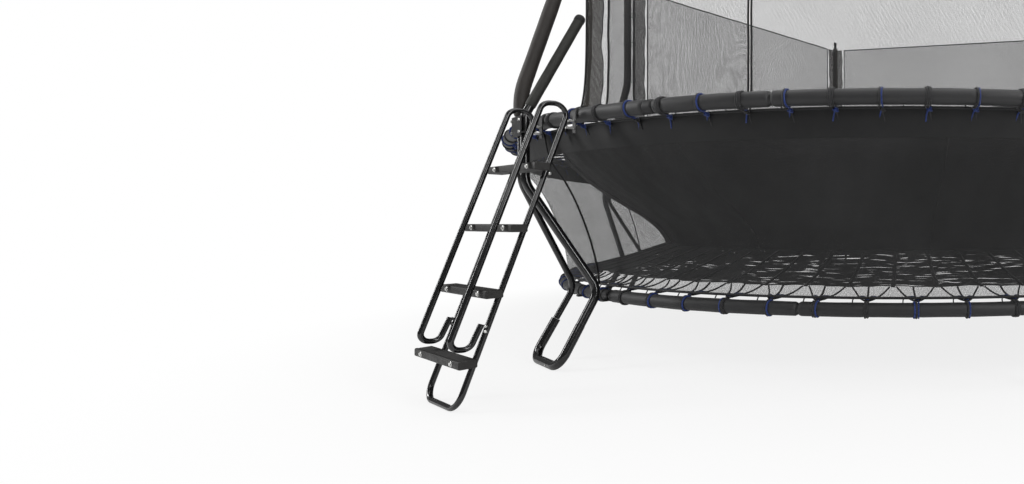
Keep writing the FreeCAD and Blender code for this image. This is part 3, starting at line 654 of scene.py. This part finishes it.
# ---------------------------------------------------------------- under-mat fabric cone
prof = np.array([(1.037, 2.206), (0.985, 2.199), (0.93, 2.150), (0.87, 2.086), (0.804, 2.004), (0.74, 1.905), (0.676, 1.805), (0.607, 1.716),
                 (0.55, 1.668), (0.506, 1.651)])
b = Build()
zz = np.linspace(0, 1, 34)
sp = np.concatenate([[0], np.cumsum(np.linalg.norm(np.diff(prof, axis=0), axis=1))])
zc, rc = np.interp(zz * sp[-1], sp, prof[:, 0]), np.interp(zz * sp[-1], sp, prof[:, 1])
for _ in range(2):
    zc[1:-1] = (zc[:-2] + 2 * zc[1:-1] + zc[2:]) / 4
    rc[1:-1] = (rc[:-2] + 2 * rc[1:-1] + rc[2:]) / 4
az = np.linspace(0, 360, 481)
pts, uv = np.zeros((34, 481, 3)), np.zeros((34, 481, 2))
for i in range(34):
    f = zz[i]
    env = math.sin(math.pi * f) ** 0.8
    fold = env * (0.0045 * np.sin(np.radians(az) * 96 + 1.3 * np.sin(np.radians(az) * 7)) * (1 - f)
                  + 0.006 * np.sin(np.radians(az) * 30 + 5 * f) + 0.004 * np.sin(np.radians(az) * 54 - 9 * f))
    pts[i] = pols(rc[i] + fold - 0.004 * env, az, 0.0)
    pts[i, :, 2] = zc[i] + 0.35 * fold
    uv[i, :, 0], uv[i, :, 1] = np.radians(az) * 1.93, f * sp[-1]
b.grid(pts, uv)
# sewn seams down the cone, six long lines, and the sleeve round the hoop
for k in range(12):
    a = UNIT + 15 + 30 * k
    p = np.stack([pol(rc[i] + 0.003, a, zc[i]) for i in range(0, 34)])
    b.tube(p, 0.0028, 6, 1)
o = b.object("under_mat_cone_fabric", ["cone", "piping"], slot="cone_fabric", ride=False)
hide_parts("under_mat_cone")
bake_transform(o)
b = Build()
az = np.linspace(0, 360, 721)[:-1]
b.tube(pols(1.640, az, 0.5), 0.0112 + 0.0006 * np.sin(np.radians(az) * 144), 14, 0, closed=True, up=(0, 0, 1))
b.object("waist_hem_sleeve", ["cone"], "frame", "cone_fabric")

# ---------------------------------------------------------------- mat, hem and stitching
b = Build()
rr = np.concatenate([[0.02], np.linspace(0.12, 2.172, 46)])
az = np.linspace(0, 360, 193)
pts, uv = np.zeros((47, 193, 3)), np.zeros((47, 193, 2))
for i, r in enumerate(rr):
    pts[i] = pols(np.full(193, r), az, 0.0)
    pts[i, :, 2] = 1.0465 - 0.010 * (1 - (r / 2.172) ** 2) + 0.0006 * np.sin(np.radians(az) * 96) * (r / 2.172) ** 12
    uv[i, :, 0], uv[i, :, 1] = pts[i, :, 0], pts[i, :, 1]
b.grid(pts, uv, flip=True)
c0 = b.n
b.add([(0, 0, 1.0365)] + pts[0, :-1].tolist(), [(0, 1 + (j + 1) % 192, 1 + j) for j in range(192)],
      [(0, 0)] + [(p[0], p[1]) for p in pts[0, :-1]])
mat = b.object("jump_mat_cloth", ["mat"], "jump_mat", "mat_weave")
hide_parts("mat")

b = Build()
n = 96 * 10
az = np.linspace(0, 360, n + 1)
att = np.array(upper_at + [upper_at[0] + 360])
gapn = np.min(np.abs(((az[:, None] - np.array(upper_at)[None, :]) + 180) % 360 - 180), axis=1) / 1.9
scal = np.clip(gapn, 0, 1)
outer = 2.210 - 0.014 * np.sin(scal * math.pi / 2) ** 1.5
pts, uv = np.zeros((8, n + 1, 3)), np.zeros((8, n + 1, 2))
ring = [(2.150, 1.0485), (2.172, 1.0500), (None, 1.0500), (None, 1.0472), (None, 1.0440), (2.172, 1.0430), (2.150, 1.0436), (2.150, 1.0485)]
for i, (r, z) in enumerate(ring):
    base = outer + (0.0016 if i == 3 else 0.0) if r is None else np.full(n + 1, r)
    pts[i] = pols(base, az, 0.0)
    pts[i, :, 2] = z + (0.0005 * np.sin(np.radians(az) * 192) if r is None else 0)
    uv[i, :, 0], uv[i, :, 1] = np.radians(az) * 2.19, i * 0.014
b.grid(pts, uv)
for rad_, z in ((2.160, 1.0492), (2.184, 1.0502)):
    q = np.linspace(0, 360, 1441)[:-1]
    b.tube(pols(rad_, q, z), 0.0009, 5, 1, closed=True, up=(0, 0, 1))
p = pols(outer[:-1] - 0.001, az[:-1], 1.0425)
b.tube(p, 0.0021, 6, 1, closed=True, up=(0, 0, 1))
o = b.object("mat_hem", ["hem", "bead"], "jump_mat", "edge_webbing")
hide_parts("mat_edge_band")

# ---------------------------------------------------------------- skirt mesh between the rings
sk = np.array([(1.020, 2.408), (0.965, 2.400), (0.925, 2.392), (0.884, 2.3765), (0.82, 2.328), (0.732, 2.284), (0.64, 2.248), (0.55, 2.219),
               (0.47, 2.198), (0.409, 2.187), (0.345, 2.179)])
ss = np.concatenate([[0], np.cumsum(np.linalg.norm(np.diff(sk, axis=0), axis=1))])
q = np.linspace(0, 1, 30)
zs, rs = np.interp(q * ss[-1], ss, sk[:, 0]), np.interp(q * ss[-1], ss, sk[:, 1])
for _ in range(2):
    zs[1:-1] = (zs[:-2] + 2 * zs[1:-1] + zs[2:]) / 4
    rs[1:-1] = (rs[:-2] + 2 * rs[1:-1] + rs[2:]) / 4
b, seams = Build(), Build()
for k in range(N):
    A = UNIT + STEP * k
    az = np.linspace(A + 0.12, A + 59.88, 97)
    f = (az - A) / 60
    pts, uv = np.zeros((30, 97, 3)), np.zeros((30, 97, 2))
    for i in range(30):
        env = math.sin(math.pi * q[i])
        pull = env * (0.012 * (1 - np.abs(2 * f - 1) ** 6) + 0.003 * np.sin(f * 60 + 4 * q[i]) + 0.002 * np.sin(f * 131 - 6 * q[i]))
        pts[i] = pols(rs[i] - pull, az, 0.0)
        pts[i, :, 2] = zs[i]
        uv[i, :, 0], uv[i, :, 1] = np.radians(az) * 2.3, q[i] * ss[-1]
    b.grid(pts, uv)
    p = np.stack([pol(rs[i] + 0.002, A, zs[i]) for i in range(30)])
    seams.tube(p, 0.0046, 8, 0)
    top = [i for i in range(30) if zs[i] > 0.902]
    strip, suv = np.zeros((len(top), 97, 3)), np.zeros((len(top), 97, 2))
    for i in top:
        strip[i] = pts[i] * np.array([1.0005, 1.0005, 1.0])
        suv[i] = uv[i]
    seams.grid(strip, suv, 0)
    for edge, zz_ in ((0, 0.0), (29, 0.0)):
        for off in (0.0,):
            seams.tube(pols(rs[edge] - 0.001, az, zs[edge]), 0.0052, 8, 1, up=(0, 0, 1))
skirt = b.object("skirt_netting", ["skirt"], "frame", "skirt_mesh")
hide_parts("skirt_panels")
seam_o = seams.object("skirt_seams", ["piping", "hem"], "frame", "black_strap")

# short ties from the skirt's edges to the rings
b = Build()
for k in range(72):
    a = 5.0 * k + 1.3
    d = (a - UNIT + 30) % 60 - 30
    if abs(d) > 2.2:
        p = curve([pol(2.407, a, 1.018), pol(2.412, a + 0.1, 1.028), pol(2.424, a + 0.15, 1.034)], 7)
        braid_tube(b, p, 0.0026, 0, 6)
    if abs(abs(d) - 3.44) > 1.4:
        p = curve([pol(2.180, a, 0.346), pol(2.182, a + 0.1, 0.338), pol(2.188, a + 0.12, 0.328)], 7)
        braid_tube(b, p, 0.0026, 0, 6)
b.object("skirt_ties", ["cordblack"], "frame", "black_cord")

# ---------------------------------------------------------------- safety net
Z0, Z1 = 1.086, 2.540
RC = 2.236


def flare(z):
    return 0.046 * np.exp(-(np.asarray(z) - 1.086) / 0.10)


def net_sheet(b, k, f0, f1, mat_i, bulge=0.010, edge=None, nz=60, z0=Z0, z1=Z1):
    A0, A1 = UNIT + STEP * k, UNIT + STEP * (k + 1)
    c0, c1 = pol(RC, A0, 0), pol(RC, A1, 0)
    span = np.linalg.norm(c1 - c0)
    d = (c1 - c0) / span
    out = np.array([-d[1], d[0], 0])
    if out @ (c0 + c1) < 0:
        out = -out
    nf = max(4, int((f1 - f0) / 0.03) + 2)
    f = np.linspace(f0, f1, nf)
    z = np.linspace(z0, z1, nz)
    Fz, Ff = np.meshgrid(z, f, indexing="ij")
    if edge is not None:
        Ff = edge(Fz, Ff)
    g = (Ff - f0) / (f1 - f0)
    h = (Fz - Z0) / (Z1 - Z0)
    corner = np.exp(-np.minimum(Ff, span - Ff) / 0.35)
    off = flare(Fz) * (0.35 + 0.65 * corner) - bulge * np.sin(np.clip(g, 0, 1) * math.pi) * np.sin(np.clip(h, 0, 1) * math.pi)
    off = off + 0.0022 * np.sin(Ff * 19 + k) * np.sin(Fz * 11 + 2 * k) + 0.0012 * np.sin(Ff * 47 + 31 * Fz)
    pts = c0 + d * Ff[..., None] + out * off[..., None]
    pts[..., 2] = Fz
    uv = np.stack([Ff, Fz], -1)
    b.grid(pts, uv, mat_i)
    return pts


def span_of():
    return float(np.linalg.norm(pol(RC, 0, 0) - pol(RC, 60, 0)))


SPAN = span_of()
bands, band_seams = Build(), Build()
W = 0.096
for k in range(N):
    for side in (0, 1):
        wave = [(23.0, k + side, 0.0035), (51.0, 2 * k, 0.002), (9.0, side, 0.003)]
        lo_f, hi_f = (0.0015, W - 0.012) if side == 0 else (SPAN - W + 0.012, SPAN - 0.0015)

        def wavy(z, f, lo_f=lo_f, hi_f=hi_f, side=side, wave=wave):
            g = (f - lo_f) / (hi_f - lo_f)
            w = ripple(z, wave)
            return f + (w * g if side == 0 else w * (1 - g))

        pts = net_sheet(bands, k, lo_f, hi_f, 0, 0.0, wavy)
        j = -1 if side == 0 else 0
        band_seams.tube(pts[:, j], 0.0022, 6, 0)
        band_seams.tube(pts[-1, :], 0.0045, 8, 1)
        band_seams.tube(pts[0, :], 0.0045, 8, 1)
    # piping down the corner
    z = np.linspace(Z0, Z1, 50)
    band_seams.tube(np.stack([pol(RC + float(flare(q_)) + 0.001, UNIT + STEP * k, q_) for q_ in z]), 0.0042, 8, 0)
o = bands.object("net_corner_fabric", ["corner"], "frame", "corner_band")
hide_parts("net_corner_bands")
so = band_seams.object("net_corner_seams", ["piping", "hem"], "frame", "black_strap")

IN = 0.108
DOOR = (SPAN - W - 0.005 - 0.700, SPAN - 0.101)


def net_piece(name, node, k, f0, f1, body, slot):
    b, s = Build(), Build()
    pts = net_sheet(b, k, f0, f1, 0, 0.010 if body == "frame" else 0.004)
    s.tube(pts[:, 0], 0.0048, 8, 0)
    s.tube(pts[:, -1], 0.0048, 8, 0)
    for row, drop in ((0, 0.0), (-1, 0.0)):
        line = pts[row]
        s.tube(line, 0.0055, 8, 1)
    # a hem strip along the top and the bottom
    o = b.object(name, ["net"], body, slot)
    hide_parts(node)
    so = s.object(name + "_edges", ["piping", "hem"], body, "black_strap")
    return o


for k in range(5):
    net_piece("net_netting_%d" % (k + 1), "net_panel_%d" % (k + 1), k, IN, SPAN - IN, "frame", "net_mesh")
net_piece("net_netting_door_side", "net_panel_door_side", 5, IN, DOOR[0] - 0.006, "frame", "net_mesh")
net_piece("net_netting_door", "net_door", 5, DOOR[0] + 0.008, SPAN - 0.113, "door", "net_mesh")

# ---------------------------------------------------------------- foam poles, stays, net ties
for k in range(N):
    A = UNIT + STEP * k
    side = 0.024
    path = fillet([loc(A, 2.492, side, 1.0825), loc(A, 2.492, side, 1.185), loc(A, 2.318, side, 1.777), loc(A, 2.318, side, 2.5895)],
                  [0.36, 0.36], 0.012)
    s = np.concatenate([[0], np.cumsum(np.linalg.norm(np.diff(path, axis=0), axis=1))])
    r = 0.0274 + 0.00035 * np.sin(s * 17 + k) + 0.0002 * np.sin(s * 41)
    e = np.minimum(s, s[-1] - s)
    r = r - 0.004 * np.clip(1 - e / 0.008, 0, 1) ** 2

    def skin(s_, ang, k=k):
        seam = np.exp(-(((ang - 0.2 * k - 2.4) % (2 * math.pi) - math.pi) / 0.05) ** 2)
        bend = np.exp(-((s_ - 0.11) / 0.07) ** 2) + np.exp(-((s_ - 0.70) / 0.07) ** 2)
        return 0.0009 * seam + 0.0006 * bend * np.sin(s_ * 260 + 2 * np.sin(ang)) * (0.5 + 0.5 * np.cos(ang))

    b = Build()
    b.tube(path, r, 32, 0, around=skin)
    o = b.object("pole_padding_%d" % (k + 1), ["foam"], "frame", "pole_foam")
    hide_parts("pole_foam_%d" % (k + 1))

b, ends = Build(), Build()
for k in range(N):
    A = UNIT + STEP * k
    a0, a1 = loc(A, 2.492, -0.024, 1.086), loc(A, 2.276, -0.024, 1.545)
    d = (a1 - a0) / np.linalg.norm(a1 - a0)
    p = np.linspace(a0 + d * 0.040, a1 - d * 0.001, 60)
    s = np.linalg.norm(p - p[0], axis=1)
    r = 0.0204 + 0.0002 * np.sin(s * 60 + k) - 0.0018 * np.clip(1 - np.minimum(s, s[-1] - s) / 0.006, 0, 1) ** 2
    b.tube(p, r, 28, 0, around=lambda s_, ang: 0.0006 * np.exp(-(((ang - 2.6) % (2 * math.pi) - math.pi) / 0.06) ** 2))
    # pocket of the net corner over the stay's end
    p = np.linspace(a1 - d * 0.010, a1 + d * 0.020, 12)
    g = np.linspace(0, 1, 12)
    ends.tube(p, 0.0218 * np.sqrt(np.clip(1 - (g * 0.92) ** 4, 0.02, 1)), 20, 0)
o = b.object("stay_padding", ["stay"], "frame", "stay_tube")
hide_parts("stay_sleeves")
for k in range(N):
    A = UNIT + STEP * k
    for z in (1.80, 2.10, 2.34, 2.52):
        q = np.linspace(0, 2 * math.pi, 29)[:-1]
        mid_r, half = (2.318 + 0.0295 + RC) / 2, (2.318 + 0.0295 - RC) / 2 + 0.004
        ring = np.stack([loc(A, mid_r + half * math.cos(t_), 0.012 + 0.0325 * math.sin(t_) * (1 + 0.25 * math.cos(t_)) + 0.010 * math.cos(t_),
                             z + 0.006 * math.sin(2 * t_ + k)) for t_ in q])
        braid_tube(ends, ring, 0.0035, 1, 8, True)
        p = loc(A, mid_r - half + 0.004, 0.0, z)
        ends.tube(np.linspace(p - np.array([0, 0, 0.014]), p + np.array([0, 0, 0.014]), 8),
                  0.0068 + 0.0014 * np.sin(np.linspace(0, math.pi, 8)), 12, 2)
ends.object("net_ties", ["hem", "cordblack", "plastic"], "frame", "black_strap")

# ---------------------------------------------------------------- ladder treads with ribbed tops
def rail(z):
    return 2.862 + (2.504 - 2.862) * z / 1.048


TR = 0.0095
for i in range(4):
    z = 0.153 + 0.222 * i
    low = rail(z) + TR + 0.0014
    prof = []
    deep, high, c = 0.054, 0.028, 0.0048
    for cx, cy, q0 in ((c, c, 180), (deep - c, c, 270)):
        for t_ in np.linspace(q0, q0 + 90, 6):
            prof.append((cx + c * math.cos(rad(t_)), cy + c * math.sin(rad(t_))))
    for t_ in np.linspace(0, 90, 5):
        prof.append((deep - c + c * math.cos(rad(t_)), high - c + c * math.sin(rad(t_)) - 0.0004))
    xs = np.linspace(deep - 0.009, 0.009, 37)
    for j, x in enumerate(xs):
        prof.append((x, high - 0.0003 - 0.0020 * (0.5 - 0.5 * math.cos(j / 36 * 2 * math.pi * 9))))
    for t_ in np.linspace(90, 180, 5):
        prof.append((c + c * math.cos(rad(t_)), high - c + c * math.sin(rad(t_)) - 0.0004))
    prof = np.array(prof)
    centre = np.array([deep / 2, high / 2])
    xs = np.concatenate([[-0.1925, -0.1921, -0.1908, -0.1885], np.linspace(-0.182, 0.182, 24), [0.1885, 0.1908, 0.1921, 0.1925]])
    shrink = np.ones(len(xs))
    shrink[[0, -1]], shrink[[1, -2]], shrink[[2, -3]] = 0.86, 0.93, 0.98
    rings = []
    for x, s_ in zip(xs, shrink):
        p = (prof - centre) * s_ + centre
        p = np.stack([np.full(len(p), x), -low - deep + p[:, 0], z + p[:, 1]], -1)
        rings.append(p)
    rings = np.array(rings)
    b = Build()
    per = np.concatenate([[0], np.cumsum(np.linalg.norm(np.diff(prof, axis=0), axis=1))])
    uv = np.stack([np.broadcast_to(xs[:, None], rings.shape[:2]), np.broadcast_to(per[None], rings.shape[:2])], -1)
    b.grid(rings, uv, 0, wrap=True)
    b.add(rings[0], [tuple(reversed(range(len(prof))))], None, 0)
    b.add(rings[-1], [tuple(range(len(prof)))], None, 0)
    # countersunk washers under the bolt heads
    for s_ in (-0.1305, 0.1305):
        at = np.array([s_, -low - deep - 0.0002, z + 0.014])
        p = np.stack([at + np.array([0, 0.0012, 0]), at - np.array([0, 0.0003, 0]), at - np.array([0, 0.0010, 0])])
        b.tube(p, np.array([0.0092, 0.0092, 0.0078]), 20, 1, up=(0, 0, 1))
    o = b.object("tread_board_%d" % (i + 1), ["tread", "bolt"], "ladder", "tread_black")
    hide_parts("tread_%d" % (i + 1))

# small bolts where the hand loops are fixed to the rails
b = Build()
for s_ in (-0.1305, 0.1305):
    for z_ in (0.278, 0.812):
        r0 = rail(z_) + (0.012 if z_ < 0.5 else -0.0125)
        for dz in ((0.0, -0.018) if z_ < 0.5 else (0.0,)):
            base = np.array([s_ + math.copysign(0.0088, s_), -r0, z_ + dz])
            out = np.array([math.copysign(1.0, s_), 0, 0])
            p = np.stack([base, base + out * 0.0022, base + out * 0.0034, base + out * 0.0038])
            b.tube(p, np.array([0.0062, 0.0060, 0.0046, 0.0022]), 12, 0, up=(0, 0, 1))
b.object("hand_loop_bolts", ["bolt"], "ladder", "bright_bolt")

# ---------------------------------------------------------------- finishes on the metal parts
finish_of = {
    "upper_ring_tubes": "tube", "lower_ring_tubes": "tube", "ring_couplers": "tube", "ring_brackets": "bracket",
    "lower_ring_clamps": "bracket", "frame_screws": "bolt", "net_poles": "gloss", "net_stays": "gloss", "pole_caps": "plastic",
    "waist_hoop": "tube", "ladder_frame": "gloss", "hand_loop_left": "gloss", "hand_loop_right": "gloss",
    "ladder_bolts": "bolt", "ladder_hooks": "bracket",
}
for name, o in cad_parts.items():
    key = finish_of.get(name)
    if key is None:
        key = "gloss" if name.startswith(("main_leg", "side_leg", "foot_tube")) else "plastic"
    if not len(o.data.materials):
        o.data.materials.append(M[key])
    for i in range(len(o.material_slots)):
        o.material_slots[i].material = M[key]

# ---------------------------------------------------------------- floor, lights
m = Mat("studio_floor")
obj = m.co.outputs["Object"]
x, y, _z = m.sep(obj)
far = m.math("SQRT", m.math("ADD", m.math("MULTIPLY", x, x), m.math("MULTIPLY", y, y)))
grain = m.noise(obj, 2.0, 3.0)
m.p.inputs["Roughness"].default_value = 0.75
m.p.inputs["Specular IOR Level"].default_value = 0.2
m.put(m.p.inputs["Base Color"], m.mix(m.span(grain, 0.3, 0.7), (0.90, 0.90, 0.90), (0.92, 0.92, 0.92)))
glow = m.nt.nodes.new("ShaderNodeEmission")
glow.inputs["Color"].default_value = (1, 1, 1, 1)
glow.inputs["Strength"].default_value = 1.0
blend = m.nt.nodes.new("ShaderNodeMixShader")
seen = m.nt.nodes.new("ShaderNodeLightPath")
m.link(m.math("MULTIPLY", m.span(far, 2.6, 3.9, 0.83, 1.0, True), seen.outputs["Is Camera Ray"]), blend.inputs[0])
m.link(m.p.outputs[0], blend.inputs[1])
m.link(glow.outputs[0], blend.inputs[2])
m.link(blend.outputs[0], m.out.inputs[0])
me = bpy.data.meshes.new("floor")
me.from_pydata([(-40, -40, 0), (40, -40, 0), (40, 40, 0), (-40, 40, 0)], [], [(0, 1, 2, 3)])
me.materials.append(m.m)
floor = bpy.data.objects.new("floor", me)
scene.collection.objects.link(floor)

world = bpy.data.worlds.new("studio")
scene.world = world
world.use_nodes = True
nt = world.node_tree
nt.nodes.clear()
wo = nt.nodes.new("ShaderNodeOutputWorld")
bg1, bg2 = nt.nodes.new("ShaderNodeBackground"), nt.nodes.new("ShaderNodeBackground")
bg1.inputs["Color"].default_value = (1, 1, 1, 1)
bg1.inputs["Strength"].default_value = 0.13
bg2.inputs["Color"].default_value = (1, 1, 1, 1)
bg2.inputs["Strength"].default_value = 1.0
mx, lp = nt.nodes.new("ShaderNodeMixShader"), nt.nodes.new("ShaderNodeLightPath")
nt.links.new(lp.outputs["Is Camera Ray"], mx.inputs[0])
nt.links.new(bg1.outputs[0], mx.inputs[1])
nt.links.new(bg2.outputs[0], mx.inputs[2])
nt.links.new(mx.outputs[0], wo.inputs[0])


def area(name, at, target, size, power, shape="RECTANGLE"):
    d = bpy.data.lights.new(name, "AREA")
    d.shape = shape
    d.size, d.size_y = size
    d.energy = power
    o = bpy.data.objects.new(name, d)
    o.location = at
    o.rotation_euler = (Vector(target) - Vector(at)).to_track_quat("-Z", "Y").to_euler()
    scene.collection.objects.link(o)
    return o


area("top_soft", (0.4, -1.0, 6.0), (0, -0.4, 0), (7.0, 7.0), 250)
area("left_strip", (-3.2, -5.4, 2.6), (-0.4, -2.2, 0.8), (0.7, 3.6), 105)
area("right_strip", (5.6, -2.2, 3.0), (0.5, -2.0, 0.8), (0.8, 3.6), 105)
area("camera_fill", (3.2, -6.2, 3.4), (0.2, -2.0, 0.6), (2.4, 1.6), 42)
scene.view_settings.view_transform = "Standard"
scene.view_settings.look = "None"
scene.view_settings.exposure = 0.0
scene.view_settings.gamma = 1.0
